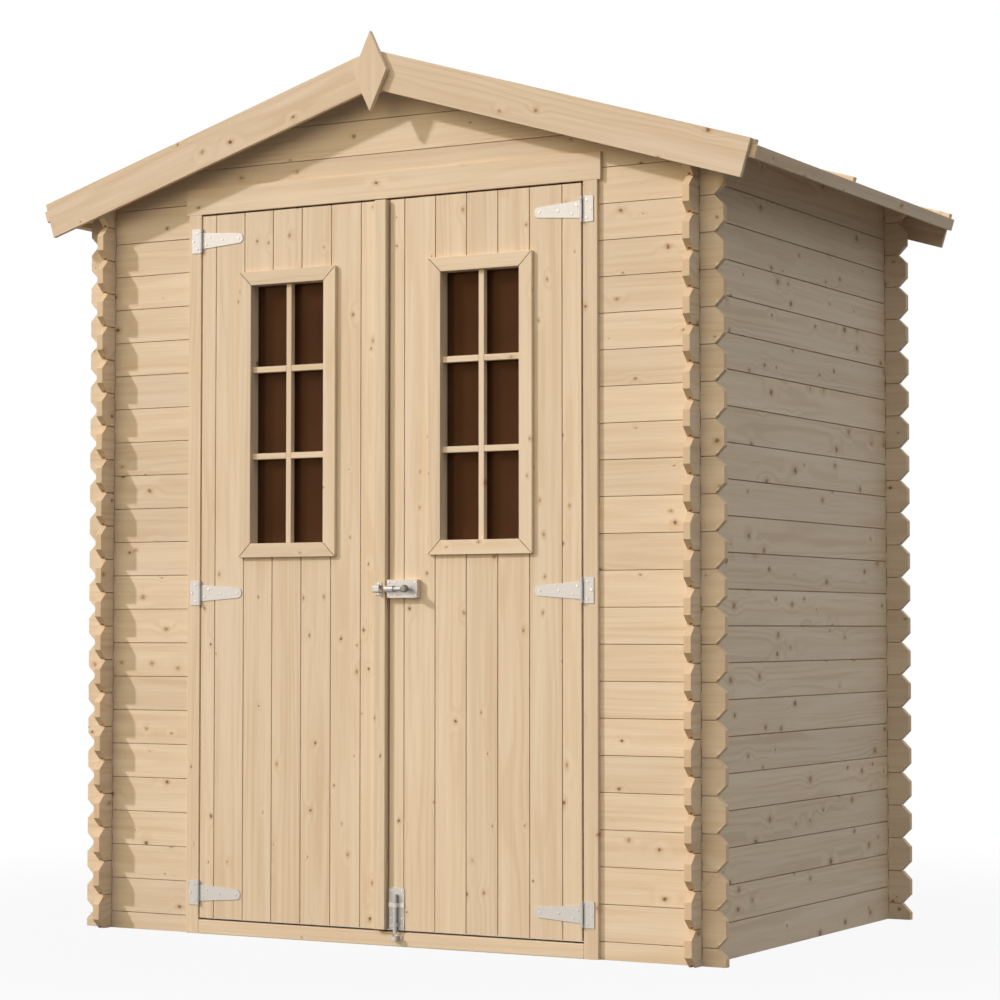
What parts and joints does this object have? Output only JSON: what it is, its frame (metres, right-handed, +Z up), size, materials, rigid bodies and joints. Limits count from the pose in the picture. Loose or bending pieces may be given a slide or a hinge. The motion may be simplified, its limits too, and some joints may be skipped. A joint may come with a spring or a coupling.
{
  "type": "wooden garden shed",
  "caption": "Small gable-roofed garden shed of notched, crossing wall boards, with an outward opening double door, paned door windows, barge boards and diamond finials.",
  "frame": {"origin": "on the ground under the middle of the roof", "axes": "+Z up, the doors face -Y, +X is to the right of someone facing the doors"},
  "size_m": [2.0798, 1.376, 2.2733],
  "materials": {
    "wall_boards": "planed spruce, untreated",
    "door_timber": "planed spruce, untreated",
    "roof_timber": "planed spruce, untreated",
    "zinc_plated_steel": "bright zinc plate",
    "tinted_glass": "clear pane that shows the dark inside"
  },
  "bodies": {
    "shed": {"front_wall_left": "wall_boards", "front_wall_right": "wall_boards", "front_gable": "wall_boards", "back_wall": "wall_boards", "left_wall": "wall_boards", "right_wall": "wall_boards", "ridge_purlin": "roof_timber", "roof_deck_left": "roof_timber", "roof_deck_right": "roof_timber", "eave_fascia_left": "roof_timber", "eave_fascia_right": "roof_timber", "front_barge_left": "roof_timber", "front_barge_right": "roof_timber", "back_barge_left": "roof_timber", "back_barge_right": "roof_timber", "front_finial": "roof_timber", "back_finial": "roof_timber", "roof_battens_left": "roof_timber", "roof_battens_right": "roof_timber", "door_jamb_left": "door_timber", "door_jamb_right": "door_timber", "door_head": "door_timber", "door_threshold": "door_timber", "left_hinge_plates": "zinc_plated_steel", "right_hinge_plates": "zinc_plated_steel", "foot_bolt_keep": "zinc_plated_steel"},
    "left_door": {"left_door_leaf": "door_timber", "left_door_ledges": "door_timber", "left_window_frame": "door_timber", "left_window_glass": "tinted_glass", "meeting_strip": "door_timber", "left_hinge_straps": "zinc_plated_steel", "latch_keep": "zinc_plated_steel"},
    "right_door": {"right_door_leaf": "door_timber", "right_door_ledges": "door_timber", "right_window_frame": "door_timber", "right_window_glass": "tinted_glass", "right_hinge_straps": "zinc_plated_steel", "latch_block": "door_timber", "latch_plate": "zinc_plated_steel", "foot_bolt_plate": "zinc_plated_steel"},
    "latch_bolt": {"latch_bolt": "zinc_plated_steel"},
    "foot_bolt": {"foot_bolt": "zinc_plated_steel"}
  },
  "joints": [
    {"name": "left_door_swing", "type": "hinge", "parent": "shed", "child": "left_door", "pos_m": [-0.5575, -0.619, 0], "axis": [0, 0, -1], "range_deg": [0, 165]},
    {"name": "right_door_swing", "type": "hinge", "parent": "shed", "child": "right_door", "pos_m": [0.5575, -0.619, 0], "axis": [0, 0, 1], "range_deg": [0, 165]},
    {"name": "latch_bolt_slide", "type": "slide", "parent": "right_door", "child": "latch_bolt", "axis": [-1, 0, 0], "range_m": [0, 0.03]},
    {"name": "foot_bolt_slide", "type": "slide", "parent": "right_door", "child": "foot_bolt", "axis": [0, 0, -1], "range_m": [0, 0.03]}
  ]
}
